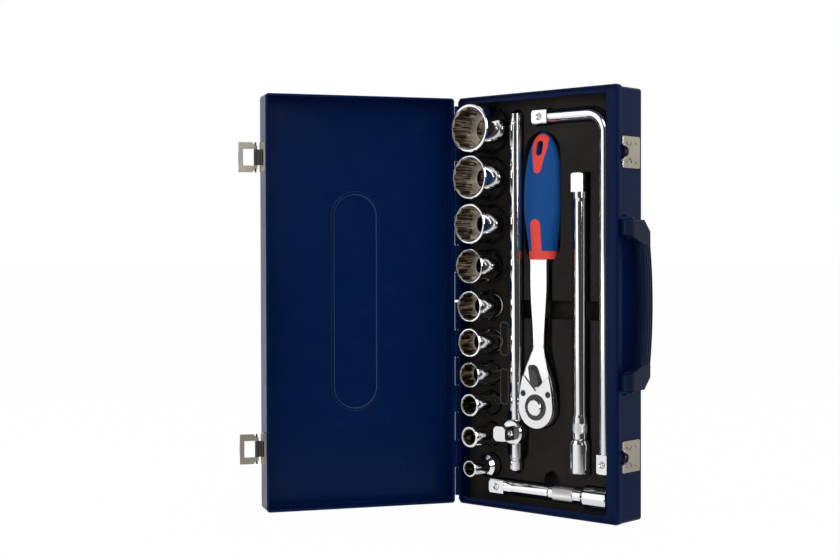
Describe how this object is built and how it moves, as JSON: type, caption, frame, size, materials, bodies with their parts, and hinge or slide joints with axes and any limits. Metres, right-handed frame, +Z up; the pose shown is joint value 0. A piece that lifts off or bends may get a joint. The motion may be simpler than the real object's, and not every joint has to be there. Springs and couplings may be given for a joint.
{
  "type": "socket wrench set",
  "caption": "Half-inch drive socket wrench set in a hinged steel case: moulded tray, twelve-point sockets, ratchet, sliding T handle, bent handle, extensions, draw latches and handle.",
  "frame": {"origin": "middle of the base half's lower end face, on which the opened case stands", "axes": "+Z up along the long side of the case, +X from the hinge wall to the handle wall, +Y from the open face into the base half"},
  "size_m": [0.2937, 0.2011, 0.36],
  "materials": {
    "case_paint": "semi-gloss enamel",
    "tray_plastic": "fine matt grain",
    "nickel": "nickel plate",
    "handle_plastic": "satin",
    "chrome": "polished",
    "dark_steel": "black oxide",
    "blue_grip": "soft satin",
    "red_grip": "soft satin"
  },
  "bodies": {
    "base": {"base_shell": "case_paint", "tray": "tray_plastic", "base_hinge_leaves": "case_paint", "hinge_pins": "case_paint", "catch_plates": "nickel", "handle_brackets": "case_paint"},
    "lid": {"lid_shell": "case_paint", "lid_hinge_leaves": "case_paint", "latch_plates": "nickel", "latch_pins": "nickel"},
    "upper_link": {"latch_link_upper": "dark_steel"},
    "lower_link": {"latch_link_lower": "dark_steel"},
    "upper_lever": {"latch_lever_upper": "nickel"},
    "lower_lever": {"latch_lever_lower": "nickel"},
    "carrying_handle": {"carrying_handle": "handle_plastic"},
    "socket_10": {"socket_10": "chrome"},
    "socket_12": {"socket_12": "chrome"},
    "socket_14": {"socket_14": "chrome"},
    "socket_17": {"socket_17": "chrome"},
    "socket_19": {"socket_19": "chrome"},
    "socket_21": {"socket_21": "chrome"},
    "socket_24": {"socket_24": "chrome"},
    "socket_27": {"socket_27": "chrome"},
    "socket_30": {"socket_30": "chrome"},
    "socket_32": {"socket_32": "chrome"},
    "sliding_bar": {"sliding_bar": "chrome"},
    "sliding_head": {"sliding_head": "chrome"},
    "sliding_head_ball": {"sliding_head_ball": "chrome"},
    "l_handle": {"l_handle": "chrome"},
    "l_handle_upper_ball": {"l_handle_upper_ball": "chrome"},
    "l_handle_lower_ball": {"l_handle_lower_ball": "chrome"},
    "long_extension": {"long_extension": "chrome"},
    "long_extension_ball": {"long_extension_ball": "chrome"},
    "short_extension": {"short_extension": "chrome"},
    "short_extension_ball": {"short_extension_ball": "chrome"},
    "ratchet": {"ratchet_body": "chrome", "ratchet_cover": "chrome", "cover_screws": "dark_steel", "ratchet_grip": "blue_grip", "grip_inlays": "red_grip"},
    "reversing_lever": {"reversing_lever": "dark_steel", "pawl": "dark_steel"},
    "drive_gear": {"drive_gear": "dark_steel"},
    "drive_gear_ball": {"drive_gear_ball": "chrome"},
    "release_button": {"release_button": "chrome"}
  },
  "joints": [
    {"name": "lid_hinge", "type": "hinge", "parent": "base", "child": "lid", "pos_m": [-0.0869, -0.018, 0.18], "axis": [0, 0, -1], "range_deg": [-121, 59]},
    {"name": "upper_link_pivot", "type": "hinge", "parent": "lid", "child": "upper_link", "pos_m": [-0.18015, -0.16601, 0.305], "axis": [0, 0, -1], "range_deg": [-90, 30]},
    {"name": "upper_lever_pivot", "type": "hinge", "parent": "upper_link", "child": "upper_lever", "pos_m": [-0.18273, -0.1703, 0.305], "axis": [0, 0, -1], "range_deg": [0, 40]},
    {"name": "lower_link_pivot", "type": "hinge", "parent": "lid", "child": "lower_link", "pos_m": [-0.18015, -0.16601, 0.055], "axis": [0, 0, -1], "range_deg": [-90, 30]},
    {"name": "lower_lever_pivot", "type": "hinge", "parent": "lower_link", "child": "lower_lever", "pos_m": [-0.18273, -0.1703, 0.055], "axis": [0, 0, -1], "range_deg": [0, 40]},
    {"name": "handle_swing", "type": "hinge", "parent": "base", "child": "carrying_handle", "pos_m": [0.09175, -0.012, 0.18], "axis": [0, 0, -1], "range_deg": [0, 100]},
    {"name": "socket_10_lift", "type": "slide", "parent": "base", "child": "socket_10", "axis": [0, -1, 0], "range_m": [0, 0.08]},
    {"name": "socket_12_lift", "type": "slide", "parent": "base", "child": "socket_12", "axis": [0, -1, 0], "range_m": [0, 0.08]},
    {"name": "socket_14_lift", "type": "slide", "parent": "base", "child": "socket_14", "axis": [0, -1, 0], "range_m": [0, 0.08]},
    {"name": "socket_17_lift", "type": "slide", "parent": "base", "child": "socket_17", "axis": [0, -1, 0], "range_m": [0, 0.08]},
    {"name": "socket_19_lift", "type": "slide", "parent": "base", "child": "socket_19", "axis": [0, -1, 0], "range_m": [0, 0.08]},
    {"name": "socket_21_lift", "type": "slide", "parent": "base", "child": "socket_21", "axis": [0, -1, 0], "range_m": [0, 0.08]},
    {"name": "socket_24_lift", "type": "slide", "parent": "base", "child": "socket_24", "axis": [0, -1, 0], "range_m": [0, 0.08]},
    {"name": "socket_27_lift", "type": "slide", "parent": "base", "child": "socket_27", "axis": [0, -1, 0], "range_m": [0, 0.08]},
    {"name": "socket_30_lift", "type": "slide", "parent": "base", "child": "socket_30", "axis": [0, -1, 0], "range_m": [0, 0.08]},
    {"name": "socket_32_lift", "type": "slide", "parent": "base", "child": "socket_32", "axis": [0, -1, 0], "range_m": [0, 0.08]},
    {"name": "sliding_bar_lift", "type": "slide", "parent": "base", "child": "sliding_bar", "axis": [0, -1, 0], "range_m": [0, 0.08]},
    {"name": "l_handle_lift", "type": "slide", "parent": "base", "child": "l_handle", "axis": [0, -1, 0], "range_m": [0, 0.08]},
    {"name": "long_extension_lift", "type": "slide", "parent": "base", "child": "long_extension", "axis": [0, -1, 0], "range_m": [0, 0.08]},
    {"name": "short_extension_lift", "type": "slide", "parent": "base", "child": "short_extension", "axis": [0, -1, 0], "range_m": [0, 0.08]},
    {"name": "ratchet_lift", "type": "slide", "parent": "base", "child": "ratchet", "axis": [0, -1, 0], "range_m": [0, 0.08]},
    {"name": "head_slide", "type": "slide", "parent": "sliding_bar", "child": "sliding_head", "axis": [0, 0, 1], "range_m": [-0.014, 0.01]},
    {"name": "sliding_head_ball_spring", "type": "slide", "parent": "sliding_head", "child": "sliding_head_ball", "axis": [1, 0, 0], "range_m": [-0.0007, 0], "stiffness_N_per_m": 400, "springref_m": 0.0003},
    {"name": "l_handle_upper_ball_spring", "type": "slide", "parent": "l_handle", "child": "l_handle_upper_ball", "axis": [0, -1, 0], "range_m": [-0.0007, 0], "stiffness_N_per_m": 400, "springref_m": 0.0003},
    {"name": "l_handle_lower_ball_spring", "type": "slide", "parent": "l_handle", "child": "l_handle_lower_ball", "axis": [0, -1, 0], "range_m": [-0.0007, 0], "stiffness_N_per_m": 400, "springref_m": 0.0003},
    {"name": "long_extension_ball_spring", "type": "slide", "parent": "long_extension", "child": "long_extension_ball", "axis": [0, 1, 0], "range_m": [-0.0007, 0], "stiffness_N_per_m": 400, "springref_m": 0.0003},
    {"name": "short_extension_ball_spring", "type": "slide", "parent": "short_extension", "child": "short_extension_ball", "axis": [0, -1, 0], "range_m": [-0.0007, 0], "stiffness_N_per_m": 400, "springref_m": 0.0003},
    {"name": "reversing", "type": "hinge", "parent": "ratchet", "child": "reversing_lever", "pos_m": [-0.0018, -0.0145, 0.1121], "axis": [0, 1, 0], "range_deg": [0, 32]},
    {"name": "drive_spin", "type": "hinge", "parent": "ratchet", "child": "drive_gear", "pos_m": [-0.0018, -0.0145, 0.0906], "axis": [0, 1, 0], "continuous": true},
    {"name": "drive_gear_ball_spring", "type": "slide", "parent": "drive_gear", "child": "drive_gear_ball", "axis": [-1, 0, 0], "range_m": [-0.0007, 0], "stiffness_N_per_m": 400, "springref_m": 0.0003},
    {"name": "release_press", "type": "slide", "parent": "drive_gear", "child": "release_button", "axis": [0, 1, 0], "range_m": [0, 0.002], "stiffness_N_per_m": 400, "springref_m": -0.0005}
  ]
}
